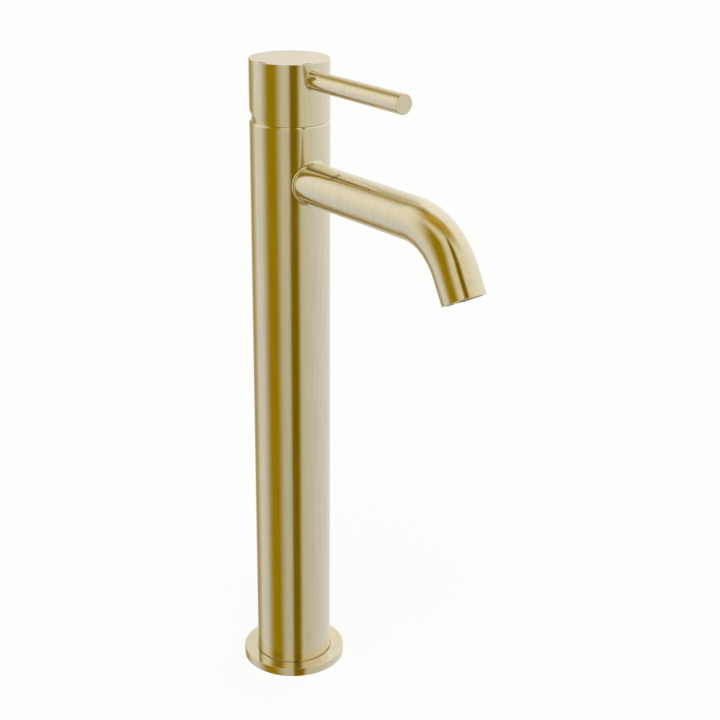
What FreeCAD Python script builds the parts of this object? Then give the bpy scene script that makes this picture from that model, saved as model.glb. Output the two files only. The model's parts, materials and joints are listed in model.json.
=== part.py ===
import FreeCAD, Part
import math
import os

vec = FreeCAD.Vector
up = vec(0, 0, 1)
right = vec(1, 0, 0)
front = vec(0, -1, 0)

# Driving dimensions, in millimetres and degrees
# Frame: origin at the centre of the underside, +Z up, spout and lever towards -Y

# Base
flange_d = 54.9
flange_t = 4.6
gasket_edge = 1.8
gasket_w = 3.2
gasket_t = 1.8
insert_h = 24.0
insert_lip_w = 1.2
insert_lip_t = 1.6

# Column
column_d = 40.0
column_wall = 2.0
column_chamfer = 1.0
column_chamfer_in = 0.55
foot_chamfer = 0.3
foot_seat_depth = 0.9
foot_bevel = 0.4

# Water supply
inlet_spacing = 14.4
inlet_tap_d = 8.92
inlet_tap_depth = 12.0
inlet_land = 2.0
stud_spacing = 22.0
stud_tap_d = 5.0
stud_tap_depth = 18.0
supply_d = 8.0
supply_wall = 1.0
supply_socket_depth = 8.0
supply_end_gap = 0.5
supply_seal_d = 1.2
supply_seal_depth = 4.0
water_way_overrun = 3.0

# Valve block and the spout's seat in it
block_below_spout = 25.9
seat_floor_t = 2.6
connector_d = 12.0
connector_bore_d = 7.6
connector_depth = 9.5
connector_reach = 17.5
connector_seal_d = 1.4
connector_seal_pitch = 3.0
outlet_bore_d = 6.0
outlet_port_d = 4.8
outlet_port_back = 2.5
outlet_overrun = 3.0
spout_seat_depth = 2.4

# Spout
spout_z = 274.4
spout_d = 20.9
spout_wall = 1.75
spout_run = 95.3
spout_bend_r = 34.5
spout_bend_deg = 61.6
spout_nose = 12.9
spout_collar_d = 24.0
spout_collar_out = 0.6

# Aerator at the outlet
aerator_len = 10.0
aerator_out = 0.1
aerator_wall = 1.3
aerator_notches = 6
aerator_first_notch_deg = 45.0
aerator_notch_w = 5.0
aerator_notch_depth = 1.2
aerator_grille_t = 2.0
aerator_grille_inset = 1.6
aerator_plate_t = 1.5
aerator_hole_d = 1.5
aerator_hole_pitch = 2.3
aerator_hole_rings = 2
aerator_jet_d = 1.0
aerator_seal_t = 1.4

# Mixing cartridge
cartridge_d = 28.4
cartridge_cavity_d = 23.4
cartridge_boss_d = 25.8
cartridge_shoulder_t = 3.6
cartridge_base_t = 4.0
cartridge_top_t = 2.0
fixed_disc_d = 22.4
fixed_disc_t = 3.2
moving_disc_d = 16.0
moving_disc_t = 3.0
disc_inlet_x = 4.3
disc_inlet_front = 4.2
disc_port_d = 3.4
disc_pocket_d = 6.4
disc_pocket_depth = 1.2
base_seal_d = 1.0
base_seal_land = 0.5
driver_w = 14.0
driver_t = 4.4
guide_flange_d = 22.4
guide_flange_t = 2.0
guide_neck_d = 15.0
guide_above_pivot = 4.5
pin_d = 3.0
pin_end_inset = 0.4
ball_d = 4.8
ball_above_driver = 2.75
arm_d = 3.4
stem_w = 7.0
stem_below_pivot = 3.5
nut_d = 31.2
nut_above_housing = 0.4
rim_above_nut = 0.7
cover_d = 31.2
cover_t = 1.0
cover_inset = 1.2
cover_rise = 11.0
pivot_above_rim = 1.8
lift_deg = 20.0
lift_relief_front = 8.0

# Handle
head_h = 29.9
head_wall = 2.8
head_chamfer = 0.3
socket_roof_t = 3.0
lever_d = 9.6
lever_reach = 87.6
lever_drop = 7.9
lever_chamfer = 0.15
lever_collar_d = 11.0
lever_collar_out = 2.0
lever_collar_sink = 0.2
collar_edge = 0.3
spigot_d = 5.0
spigot_depth = 8.0
grub_d = 4.0
grub_len = 8.0
grub_key_w = 2.0
grub_key_depth = 3.0
mark_w = 2.0
mark_t = 0.3
mark_inset = 0.35
mark_arc_deg = 15.0
mark_half_spread_deg = 35.4
mark_middle_deg = 45.0

# Clearances
snug_gap = 0.05
loose_gap = 0.1
slide_gap = 0.1
film_gap = 0.05
run_gap = 0.05
ball_gap = 0.15
lift_gap = 0.3
guide_gap = 0.35
arm_gap = 1.1
cover_gap = 0.4
stem_sweep_gap = 0.5
lift_relief_deg = 2.5

# Radii
flange_r = flange_d / 2
column_r = column_d / 2
column_in_r = column_r - column_wall
block_r = column_in_r - loose_gap
inlet_x = inlet_spacing / 2
supply_r = supply_d / 2
supply_in_r = supply_r - supply_wall
spout_r = spout_d / 2
spout_in_r = spout_r - spout_wall
spout_collar_r = spout_collar_d / 2
cartridge_r = cartridge_d / 2
cartridge_cavity_r = cartridge_cavity_d / 2
cartridge_boss_r = cartridge_boss_d / 2
base_inlet_x = cartridge_cavity_r - supply_in_r - base_seal_d - base_seal_land
guide_neck_r = guide_neck_d / 2
guide_flange_r = guide_flange_d / 2
moving_disc_r = moving_disc_d / 2
nut_r = nut_d / 2
cover_r = cover_d / 2
dome_r = column_r - cover_inset
dome_top_r = math.sqrt(dome_r ** 2 - cover_rise ** 2)
head_cavity_r = column_r - head_wall
lever_r = lever_d / 2
lever_collar_r = lever_collar_d / 2

# Heights, stacked from the spout's axis upwards
lift = math.radians(lift_deg)
block_z = spout_z - block_below_spout
seat_z = spout_z + connector_d / 2 + seat_floor_t
fixed_disc_z = seat_z + cartridge_base_t
moving_disc_z = fixed_disc_z + fixed_disc_t + film_gap
driver_z = moving_disc_z + moving_disc_t
guide_z = driver_z + driver_t + guide_gap
guide_floor_z = guide_z + guide_flange_t
housing_roof_z = guide_floor_z + slide_gap
housing_top_z = housing_roof_z + cartridge_top_t
shoulder_z = housing_top_z - cartridge_shoulder_t
nut_top_z = housing_top_z + nut_above_housing
column_top_z = nut_top_z + rim_above_nut
pivot_z = column_top_z + pivot_above_rim
ball_z = driver_z + ball_above_driver
head_z = column_top_z + lift_gap
head_top_z = head_z + head_h
cover_top_z = pivot_z + cover_rise
head_roof_z = pivot_z + dome_top_r * math.sin(lift) + cover_rise * math.cos(lift) + cover_gap
socket_top_z = head_top_z - socket_roof_t
lever_z = head_top_z - lever_drop

# Distances towards the front from the column's axis
spout_seat = block_r - spout_seat_depth
connector_end = spout_seat - connector_depth
lever_seat = math.sqrt(column_r ** 2 - lever_collar_r ** 2) - lever_collar_sink
lever_root = column_r + lever_collar_out

# Travel
arm_travel = (pivot_z - guide_z) * math.tan(lift)
socket_w = stem_w + 2 * slide_gap


def rod(radius, bottom, top, x=0.0, y=0.0):
    return Part.makeCylinder(radius, top - bottom, vec(x, y, bottom), up)


def tube(outer, inner, bottom, top, x=0.0, y=0.0):
    return rod(outer, bottom, top, x, y).cut(rod(inner, bottom, top, x, y))


def rod_front(radius, near, far, z):
    return Part.makeCylinder(radius, far - near, vec(0, -near, z), front)


def block_box(x_low, x_high, y_low, y_high, z_low, z_high):
    corner = vec(x_low, y_low, z_low)
    return Part.makeBox(x_high - x_low, y_high - y_low, z_high - z_low, corner)


def lathe(outline):
    points = [vec(radius, 0, height) for radius, height in outline]
    face = Part.Face(Part.makePolygon(points + points[:1]))
    return face.revolve(vec(0, 0, 0), up, 360)


def to_front(shape, z):
    turned = shape.copy()
    turned.rotate(vec(0, 0, 0), right, 90)
    turned.translate(vec(0, 0, z))
    return turned


def ring_seal(inner, section_d, centre, axis):
    return Part.makeTorus(inner + section_d / 2, section_d / 2, centre, axis)


def long_port(x_a, y_a, x_b, y_b, radius, bottom, top):
    length = math.hypot(x_b - x_a, y_b - y_a)
    bar = Part.makeBox(length, 2 * radius, top - bottom, vec(0, -radius, bottom))
    bar.rotate(vec(0, 0, 0), up, math.degrees(math.atan2(y_b - y_a, x_b - x_a)))
    bar.translate(vec(x_a, y_a, 0))
    ends = rod(radius, bottom, top, x_a, y_a).fuse(rod(radius, bottom, top, x_b, y_b))
    return bar.fuse(ends).removeSplitter()


def slant_bore(radius, x_low, z_low, x_high, z_high, overrun):
    way = vec(x_high - x_low, 0, z_high - z_low)
    length = way.Length + 2 * overrun
    start = vec(x_low, 0, z_low) - way * (overrun / way.Length)
    return Part.makeCylinder(radius, length, start, way)


def arc_band(outer, inner, bottom, top, middle_deg, arc_deg):
    sector = Part.makeCylinder(outer, top - bottom, vec(0, 0, bottom), up, arc_deg)
    core = rod(inner, bottom, top)
    band = sector.cut(core)
    band.rotate(vec(0, 0, 0), up, middle_deg - arc_deg / 2)
    return band


def save(name, shape):
    if not shape.isValid():
        raise ValueError(name + " is not a valid shape")
    shape.exportStep("parts/" + name + ".step")


os.makedirs("parts", exist_ok=True)

# Base flange, its deck gasket and the brass insert that clamps it to the column

gasket_out_r = flange_r - gasket_edge
gasket_in_r = gasket_out_r - gasket_w
lip_r = column_in_r + insert_lip_w
foot_z = flange_t - foot_seat_depth
foot_seat_r = column_r + loose_gap
flange_outline = [
    (lip_r + loose_gap, 0),
    (flange_r, 0),
    (flange_r, flange_t),
    (foot_seat_r + foot_bevel, flange_t),
    (foot_seat_r, flange_t - foot_bevel),
    (foot_seat_r, foot_z),
    (column_in_r + loose_gap, foot_z),
    (column_in_r + loose_gap, insert_lip_t),
    (lip_r + loose_gap, insert_lip_t),
]
gasket = tube(gasket_out_r, gasket_in_r, 0, gasket_t)
base_flange = lathe(flange_outline).cut(gasket)
save("base_flange", base_flange)
save("base_gasket", gasket)

supply_socket_z = inlet_tap_depth + inlet_land
base_insert = rod(lip_r, 0, insert_lip_t).fuse(rod(column_in_r, 0, insert_h))
for x in (-inlet_x, inlet_x):
    base_insert = base_insert.cut(rod(inlet_tap_d / 2, 0, inlet_tap_depth, x))
    base_insert = base_insert.cut(rod(supply_in_r, 0, insert_h, x))
    base_insert = base_insert.cut(rod(supply_r, supply_socket_z, insert_h, x))
for y in (-stud_spacing / 2, stud_spacing / 2):
    base_insert = base_insert.cut(rod(stud_tap_d / 2, 0, stud_tap_depth, 0, y))
save("base_insert", base_insert.removeSplitter())

# Column tube, seated in the flange, with the opening for the spout's collar

column_outline = [
    (column_in_r, foot_z),
    (column_r - foot_chamfer, foot_z),
    (column_r, foot_z + foot_chamfer),
    (column_r, column_top_z - column_chamfer),
    (column_r - column_chamfer_in, column_top_z),
    (column_in_r, column_top_z),
]
column_tube = lathe(column_outline)
column_tube = column_tube.cut(rod_front(spout_collar_r + snug_gap, 0, column_d, spout_z))
save("column_tube", column_tube)

# Supply tubes inside the column

supply_top_z = block_z + supply_socket_depth
for name, x in (("hot_supply_tube", -inlet_x), ("cold_supply_tube", inlet_x)):
    pipe = tube(supply_r, supply_in_r, supply_socket_z, supply_top_z - supply_end_gap, x)
    save(name, pipe)

supply_seal_z = block_z + supply_seal_depth
supply_seals = []
for x in (-inlet_x, inlet_x):
    supply_seals.append(ring_seal(supply_r, supply_seal_d, vec(x, 0, supply_seal_z), up))
save("supply_tube_seals", Part.makeCompound(supply_seals))

# Valve block: sockets for the supply tubes, the cartridge's cavity and the spout's seat

block_cavity_r = cartridge_r + loose_gap
valve_block = rod(block_r, block_z, nut_top_z)
valve_block = valve_block.cut(rod(block_cavity_r, seat_z, nut_top_z))
valve_block = valve_block.cut(rod(nut_r, shoulder_z, nut_top_z))
for side in (-1, 1):
    x = side * inlet_x
    seal_groove = rod(
        supply_r + supply_seal_d,
        supply_seal_z - supply_seal_d / 2,
        supply_seal_z + supply_seal_d / 2,
        x,
    )
    water_way = slant_bore(supply_in_r, x, supply_top_z, side * base_inlet_x, seat_z, water_way_overrun)
    valve_block = valve_block.cut(rod(supply_r + snug_gap, block_z, supply_top_z, x))
    valve_block = valve_block.cut(water_way)
    valve_block = valve_block.cut(seal_groove)
outlet_back = -outlet_port_back - outlet_overrun
valve_block = valve_block.cut(rod_front(outlet_bore_d / 2, outlet_back, spout_seat, spout_z))
valve_block = valve_block.cut(rod_front(connector_d / 2, connector_end, spout_seat, spout_z))
valve_block = valve_block.cut(rod_front(spout_collar_r + snug_gap, spout_seat, column_r, spout_z))
valve_block = valve_block.cut(rod(outlet_port_d / 2, spout_z, seat_z, 0, outlet_port_back))
save("valve_block", valve_block)

# Spout: connector, seals, root collar and the bent tube

connector_outline = [
    (connector_bore_d / 2, connector_end),
    (connector_d / 2, connector_end),
    (connector_d / 2, spout_seat),
    (spout_in_r, spout_seat),
    (spout_in_r, spout_seat + connector_reach),
    (connector_bore_d / 2, spout_seat + connector_reach),
]
spout_connector = to_front(lathe(connector_outline), spout_z)
connector_seals = []
for step in (-0.5, 0.5):
    seal_at = (connector_end + spout_seat) / 2 + step * connector_seal_pitch
    seal_in_r = connector_d / 2 - connector_seal_d
    near = seal_at - connector_seal_d / 2
    far = seal_at + connector_seal_d / 2
    band = rod_front(connector_d / 2, near, far, spout_z).cut(rod_front(seal_in_r, near, far, spout_z))
    spout_connector = spout_connector.cut(band)
    connector_seals.append(ring_seal(seal_in_r, connector_seal_d, vec(0, -seal_at, spout_z), front))
save("spout_connector", spout_connector)
save("spout_seals", Part.makeCompound(connector_seals))

collar_face = column_r + spout_collar_out
spout_collar_outline = [
    (spout_r + snug_gap, spout_seat),
    (spout_collar_r, spout_seat),
    (spout_collar_r, collar_face - collar_edge),
    (spout_collar_r - collar_edge, collar_face),
    (spout_r + snug_gap, collar_face),
]
save("spout_collar", to_front(lathe(spout_collar_outline), spout_z))

bend = math.radians(spout_bend_deg)


def bend_point(angle):
    reach = spout_run + spout_bend_r * math.sin(angle)
    drop = spout_bend_r * (1 - math.cos(angle))
    return vec(0, -reach, spout_z - drop)


root_point = vec(0, -spout_seat, spout_z)
nose_way = vec(0, -math.cos(bend), -math.sin(bend))
outlet_point = bend_point(bend) + nose_way * spout_nose
spout_path = Part.Wire([
    Part.makeLine(root_point, bend_point(0)),
    Part.Arc(bend_point(0), bend_point(bend / 2), bend_point(bend)).toShape(),
    Part.makeLine(bend_point(bend), outlet_point),
])


def along_spout(radius):
    section = Part.Wire([Part.makeCircle(radius, root_point, front)])
    return spout_path.makePipeShell([section], True, False)


save("spout_tube", along_spout(spout_r).cut(along_spout(spout_in_r)))

# Aerator, drawn upright with the water leaving upwards, then turned into the outlet

aerator_r = spout_in_r - snug_gap
aerator_in_r = aerator_r - aerator_wall
aerator_back = aerator_out - aerator_len


def to_outlet(shape):
    turned = shape.copy()
    turned.rotate(vec(0, 0, 0), right, 90 + spout_bend_deg)
    turned.translate(outlet_point)
    return turned


aerator_housing = tube(aerator_r, aerator_in_r, aerator_back, aerator_out)
for count in range(aerator_notches):
    notch = block_box(
        aerator_in_r - aerator_wall,
        aerator_r + aerator_wall,
        -aerator_notch_w / 2,
        aerator_notch_w / 2,
        aerator_out - aerator_notch_depth,
        aerator_out,
    )
    notch.rotate(vec(0, 0, 0), up, aerator_first_notch_deg + 360 * count / aerator_notches)
    aerator_housing = aerator_housing.cut(notch)
save("aerator_housing", to_outlet(aerator_housing))


def pierced_disc(bottom, top, hole_d):
    disc = rod(aerator_in_r, bottom, top)
    disc = disc.cut(rod(hole_d / 2, bottom, top))
    for ring in range(1, aerator_hole_rings + 1):
        for count in range(6 * ring):
            angle = 2 * math.pi * count / (6 * ring)
            x = ring * aerator_hole_pitch * math.cos(angle)
            y = ring * aerator_hole_pitch * math.sin(angle)
            disc = disc.cut(rod(hole_d / 2, bottom, top, x, y))
    return disc


grille_top = aerator_out - aerator_grille_inset
plate_bottom = aerator_back
aerator_grille = pierced_disc(grille_top - aerator_grille_t, grille_top, aerator_hole_d)
aerator_jet_plate = pierced_disc(plate_bottom, plate_bottom + aerator_plate_t, aerator_jet_d)
aerator_seal = tube(aerator_r, aerator_in_r, aerator_back - aerator_seal_t, aerator_back)
save("aerator_grille", to_outlet(aerator_grille))
save("aerator_jet_plate", to_outlet(aerator_jet_plate))
save("aerator_seal", to_outlet(aerator_seal))

# Cartridge: base with its seals, housing and the two ceramic discs

port_turn_z = (seat_z + fixed_disc_z) / 2
port_r = disc_port_d / 2
cartridge_base = rod(cartridge_cavity_r, seat_z, fixed_disc_z)
cartridge_base = cartridge_base.cut(rod(outlet_port_d / 2, seat_z, fixed_disc_z, 0, outlet_port_back))
base_seals = []
seal_places = [
    (-base_inlet_x, 0, supply_in_r),
    (base_inlet_x, 0, supply_in_r),
    (0, outlet_port_back, outlet_port_d / 2),
]
for x, y, seal_r in seal_places:
    seal_z = seat_z + base_seal_d / 2
    groove = tube(seal_r + base_seal_d, seal_r, seat_z, seat_z + base_seal_d, x, y)
    cartridge_base = cartridge_base.cut(groove)
    base_seals.append(ring_seal(seal_r, base_seal_d, vec(x, y, seal_z), up))
for side in (-1, 1):
    cartridge_base = cartridge_base.cut(rod(port_r, seat_z, port_turn_z, side * base_inlet_x))
    turn_port = long_port(
        side * base_inlet_x, 0, side * disc_inlet_x, -disc_inlet_front, port_r, port_turn_z, fixed_disc_z
    )
    cartridge_base = cartridge_base.cut(turn_port)
save("cartridge_base", cartridge_base)
save("cartridge_base_seals", Part.makeCompound(base_seals))

housing_outline = [
    (cartridge_cavity_r, seat_z),
    (cartridge_r, seat_z),
    (cartridge_r, shoulder_z),
    (cartridge_boss_r, shoulder_z),
    (cartridge_boss_r, housing_top_z),
    (guide_neck_r + run_gap, housing_top_z),
    (guide_neck_r + run_gap, housing_roof_z),
    (cartridge_cavity_r, housing_roof_z),
]
save("cartridge_housing", lathe(housing_outline))

fixed_disc = rod(fixed_disc_d / 2, fixed_disc_z, fixed_disc_z + fixed_disc_t)
disc_ports = [
    (-disc_inlet_x, -disc_inlet_front, port_r),
    (disc_inlet_x, -disc_inlet_front, port_r),
    (0, outlet_port_back, outlet_port_d / 2),
]
for x, y, hole_r in disc_ports:
    fixed_disc = fixed_disc.cut(rod(hole_r, fixed_disc_z, fixed_disc_z + fixed_disc_t, x, y))
save("fixed_disc", fixed_disc)

moving_disc = rod(moving_disc_r, moving_disc_z, driver_z)
pocket_top_z = moving_disc_z + disc_pocket_depth
moving_disc = moving_disc.cut(rod(disc_pocket_d / 2, moving_disc_z, pocket_top_z, 0, outlet_port_back / 2))
save("moving_disc", moving_disc)

# Driver, guide, pin and stem that work the discs

driver_slab = block_box(
    -driver_w / 2, driver_w / 2, -moving_disc_r, moving_disc_r, driver_z, driver_z + driver_t
)
disc_driver = rod(moving_disc_r, driver_z, driver_z + driver_t).common(driver_slab)
disc_driver = disc_driver.cut(rod(ball_d / 2 + ball_gap, driver_z, driver_z + driver_t))
save("disc_driver", disc_driver)

guide_top_z = pivot_z + guide_above_pivot
leg_z = driver_z + guide_gap
leg_slot = block_box(
    -driver_w / 2 - slide_gap, driver_w / 2 + slide_gap, -guide_flange_r, guide_flange_r, leg_z, guide_z
)
legs = rod(guide_flange_r, leg_z, guide_z).cut(leg_slot)
fork_slot = block_box(
    -socket_w / 2, socket_w / 2, -guide_neck_r, guide_neck_r, guide_floor_z, guide_top_z
)
fork = rod(guide_neck_r, guide_floor_z, guide_top_z).cut(fork_slot)
arm_slot = long_port(0, -arm_travel, 0, 0, arm_d / 2 + arm_gap, guide_z, guide_floor_z)
spindle_guide = rod(guide_flange_r, guide_z, guide_floor_z).fuse([legs, fork]).cut(arm_slot)
pin_half = guide_neck_r - pin_end_inset
pivot_pin = Part.makeCylinder(pin_d / 2, 2 * pin_half, vec(-pin_half, 0, pivot_z), right)
pin_hole = Part.makeCylinder(pin_d / 2, guide_neck_d, vec(-guide_neck_r, 0, pivot_z), right)
save("spindle_guide", spindle_guide.cut(pin_hole).removeSplitter())
save("pivot_pin", pivot_pin)

stem_top_z = socket_top_z - lift_gap
stem_bar = block_box(
    -stem_w / 2, stem_w / 2, -stem_w / 2, stem_w / 2, pivot_z - stem_below_pivot, stem_top_z
)
stem_arm = rod(arm_d / 2, ball_z, pivot_z)
stem_ball = Part.makeSphere(ball_d / 2, vec(0, 0, ball_z))
stem_hole = Part.makeCylinder(pin_d / 2 + run_gap, stem_w, vec(-stem_w / 2, 0, pivot_z), right)
save("stem", stem_bar.fuse([stem_arm, stem_ball]).cut(stem_hole).removeSplitter())

# Retaining nut and the domed cover around the pivot

save("retaining_nut", tube(nut_r, cartridge_boss_r + loose_gap, shoulder_z, nut_top_z))

cover_opening_r = cover_rise * math.tan(lift) + stem_w * math.sqrt(0.5) / math.cos(lift) + stem_sweep_gap
cover_floor_z = column_top_z + cover_t
cover_roof_z = cover_top_z - cover_t
pivot_point = vec(0, 0, pivot_z)
cover = Part.makeSphere(dome_r, pivot_point).common(rod(column_r, column_top_z, cover_top_z))
hollow = Part.makeSphere(dome_r - cover_t, pivot_point).common(rod(column_r, cover_floor_z, cover_roof_z))
cover = cover.cut(hollow).fuse(rod(cover_r, nut_top_z, cover_floor_z))
cover = cover.cut(rod(cover_r - cover_t, nut_top_z, cover_floor_z))
cover = cover.cut(rod(cover_opening_r, cover_roof_z, cover_top_z)).removeSplitter()
save("cartridge_cover", cover)

# Handle head: cavity over the cover, square socket, lift relief at the back, lever's seat

head_outline = [
    (0, head_z),
    (column_r, head_z),
    (column_r, head_top_z - head_chamfer),
    (column_r - head_chamfer, head_top_z),
    (0, head_top_z),
]
relief = math.radians(lift_deg + lift_relief_deg)
relief_slope = column_r * math.tan(relief) / (column_r + lift_relief_front)
relief_points = [
    vec(-column_d, -lift_relief_front, head_z),
    vec(-column_d, column_d, head_z),
    vec(-column_d, column_d, head_z + (column_d + lift_relief_front) * relief_slope),
]
relief_face = Part.Face(Part.makePolygon(relief_points + relief_points[:1]))
lift_relief = relief_face.extrude(vec(2 * column_d, 0, 0))
stem_socket = block_box(
    -socket_w / 2, socket_w / 2, -socket_w / 2, socket_w / 2, head_roof_z, socket_top_z
)
lever_pocket = rod_front(lever_collar_r, lever_seat, column_d, lever_z)
spigot_hole = rod_front(spigot_d / 2, lever_seat - spigot_depth - lift_gap, column_d, lever_z)
grub_hole = rod_front(grub_d / 2, -column_d, -stem_w / 2, lever_z)

mark_out_r = column_r - mark_inset
marks = {}
for name, swing in (("cold_mark", mark_half_spread_deg), ("hot_mark", -mark_half_spread_deg)):
    middle = -90 - mark_middle_deg + swing
    marks[name] = arc_band(
        mark_out_r, mark_out_r - mark_w, head_top_z - mark_t, head_top_z, middle, mark_arc_deg
    )

dome_space_r = dome_r + cover_gap
dome_space = Part.makeSphere(dome_space_r, pivot_point).common(rod(column_r, pivot_z, head_roof_z))
handle_head = lathe(head_outline).cut(rod(head_cavity_r, head_z, head_roof_z))
handle_head = handle_head.cut(rod(dome_space_r, head_z, pivot_z)).cut(dome_space)
for cutter in [lift_relief, stem_socket, lever_pocket, spigot_hole, grub_hole]:
    handle_head = handle_head.cut(cutter)
for name, mark in marks.items():
    handle_head = handle_head.cut(mark)
    save(name, mark)
save("handle_head", handle_head)

# Lever rod with its threaded spigot, root collar and the grub screw behind the stem

lever_outline = [
    (0, lever_seat - spigot_depth),
    (spigot_d / 2, lever_seat - spigot_depth),
    (spigot_d / 2, lever_root),
    (lever_r, lever_root),
    (lever_r, lever_reach - lever_chamfer),
    (lever_r - lever_chamfer, lever_reach),
    (0, lever_reach),
]
save("lever_rod", to_front(lathe(lever_outline), lever_z))

lever_collar_outline = [
    (spigot_d / 2, lever_seat),
    (lever_collar_r, lever_seat),
    (lever_collar_r, lever_root - collar_edge),
    (lever_collar_r - collar_edge, lever_root),
    (spigot_d / 2, lever_root),
]
save("lever_collar", to_front(lathe(lever_collar_outline), lever_z))

grub_back = stem_w / 2 + grub_len
grub_screw = rod_front(grub_d / 2, -grub_back, -stem_w / 2, lever_z)
key_r = grub_key_w / math.sqrt(3)
key_points = []
for corner in range(7):
    angle = math.radians(60 * corner)
    key_points.append(vec(key_r * math.cos(angle), grub_back, lever_z + key_r * math.sin(angle)))
key_face = Part.Face(Part.makePolygon(key_points))
grub_screw = grub_screw.cut(key_face.extrude(vec(0, -grub_key_depth, 0)))
save("grub_screw", grub_screw)
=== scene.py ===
import json
import math

import bmesh
import bpy
import numpy as np
from mathutils import Matrix, Vector

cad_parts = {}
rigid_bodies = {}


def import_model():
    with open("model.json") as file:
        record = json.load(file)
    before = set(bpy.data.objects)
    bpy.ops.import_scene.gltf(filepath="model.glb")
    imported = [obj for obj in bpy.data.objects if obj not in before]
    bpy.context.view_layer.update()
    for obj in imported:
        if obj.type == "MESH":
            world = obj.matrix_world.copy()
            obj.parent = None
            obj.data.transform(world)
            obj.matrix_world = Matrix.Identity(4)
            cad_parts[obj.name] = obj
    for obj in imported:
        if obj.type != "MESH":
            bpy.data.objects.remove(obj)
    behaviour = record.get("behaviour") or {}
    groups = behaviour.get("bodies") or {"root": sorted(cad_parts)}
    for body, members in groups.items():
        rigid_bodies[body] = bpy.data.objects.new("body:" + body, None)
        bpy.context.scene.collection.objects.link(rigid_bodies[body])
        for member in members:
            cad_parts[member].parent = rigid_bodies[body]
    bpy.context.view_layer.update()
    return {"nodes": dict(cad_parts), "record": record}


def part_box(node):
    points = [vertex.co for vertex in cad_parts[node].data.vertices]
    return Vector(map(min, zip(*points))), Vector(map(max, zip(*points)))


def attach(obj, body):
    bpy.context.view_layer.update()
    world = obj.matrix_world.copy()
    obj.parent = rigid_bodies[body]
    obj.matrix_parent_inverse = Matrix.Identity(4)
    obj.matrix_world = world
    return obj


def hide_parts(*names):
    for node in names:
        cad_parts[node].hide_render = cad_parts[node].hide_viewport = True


for leftover in list(bpy.data.objects):  # start from an empty scene
    bpy.data.objects.remove(leftover)

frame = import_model()
mm = 0.001
fullTurn = 2 * math.pi
frontAngle = 1.5 * math.pi  # towards -Y, where the lever and the spout point
backAngle = 0.5 * math.pi
weldGap = 0.002 * mm
sharpAngle = math.radians(32)
print("frame loaded:", len(frame["nodes"]), "nodes")


# Outlines and surfaces

def ringOf(columns):
    return np.linspace(0, fullTurn, columns + 1)


def softened(corners, radius, steps=5):
    # each inner corner becomes an arc, set back along both sides by radius times the tangent of half the turn
    corners = np.asarray(corners, float)
    outline = [corners[:1]]
    for before, corner, after in zip(corners, corners[1:], corners[2:]):
        goIn = (corner - before) / np.linalg.norm(corner - before)
        goOut = (after - corner) / np.linalg.norm(after - corner)
        turn = math.acos(np.clip(goIn @ goOut, -1, 1))
        inward = (goOut - goIn * math.cos(turn)) / math.sin(turn)
        start = corner - goIn * radius * math.tan(turn / 2)
        t = np.linspace(0, turn, steps + 1)[:, None]
        outline.append(start + radius * (np.sin(t) * goIn + (1 - np.cos(t)) * inward))
    outline.append(corners[-1:])
    return np.concatenate(outline)


def upright(s):  # a path straight up the column's axis
    centre = np.stack([0 * s, 0 * s, s], axis=-1)
    return centre, np.array([1.0, 0, 0]), np.array([0, 1.0, 0])


def forwardAt(height):  # a path from the axis towards the front
    def path(s):
        centre = np.stack([0 * s, -s, 0 * s + height], axis=-1)
        return centre, np.array([0, 0, 1.0]), np.array([1.0, 0, 0])
    return path


def carry(outline, path, turn, brush):
    # an outline of (distance, radius) pairs carried round a path: centre + radius (cos a lift + sin a side)
    s, r = np.asarray(outline, float).T
    centre, lift, side = path(s)
    cosA, sinA = np.cos(turn)[:, None], np.sin(turn)[:, None]
    points = centre + r[:, None] * (cosA[..., None] * lift + sinA[..., None] * side)
    length = np.concatenate([[0], np.cumsum(np.hypot(np.diff(s), np.diff(r)))])
    along, across = np.broadcast_arrays(length[None, :], r.max() * turn[:, None])
    if brush == "along":
        uv = np.stack([along, across], axis=-1)
    elif brush == "around":
        uv = np.stack([across, along], axis=-1)
    else:  # a flat face, brushed straight across
        uv = np.stack([r * cosA, r * sinA], axis=-1)
    return points, uv, None


def cellLoop(iLow, iHigh, jLow, jHigh):  # the grid points round a block of cells, closed
    i = np.concatenate([np.arange(iLow, iHigh), np.full(jHigh - jLow, iHigh),
                        np.arange(iHigh, iLow, -1), np.full(jHigh - jLow, iLow), [iLow]])
    j = np.concatenate([np.full(iHigh - iLow, jLow), np.arange(jLow, jHigh),
                        np.full(iHigh - iLow, jHigh), np.arange(jHigh, jLow, -1), [jLow]])
    return i, j


def gridQuads(rows, columns, start=0):  # the corners of each cell of a grid whose points count up from start
    index = start + np.arange(rows * columns).reshape(rows, columns)
    return np.stack([index[:-1, :-1], index[1:, :-1], index[1:, 1:], index[:-1, 1:]], axis=-1)


def onWall(radius, turn, height):  # points by radius, angle and height about the column's axis
    return np.stack([radius * np.cos(turn), radius * np.sin(turn), height], axis=-1)


def portCells(port, turn):  # the first and last column of the cells that a port takes up
    iLow = int(np.argmin(np.abs(turn - port["angle"] + port["spread"])))
    iHigh = int(np.argmin(np.abs(turn - port["angle"] - port["spread"])))
    return iLow, iHigh


def portBearing(port, turn, heights):  # the clock angle of each grid point round the port
    i, j = cellLoop(*portCells(port, turn), 1, len(heights) - 2)
    return np.arctan2(port["wall"] * (turn[i] - port["angle"]), heights[j] - port["z"])


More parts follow.
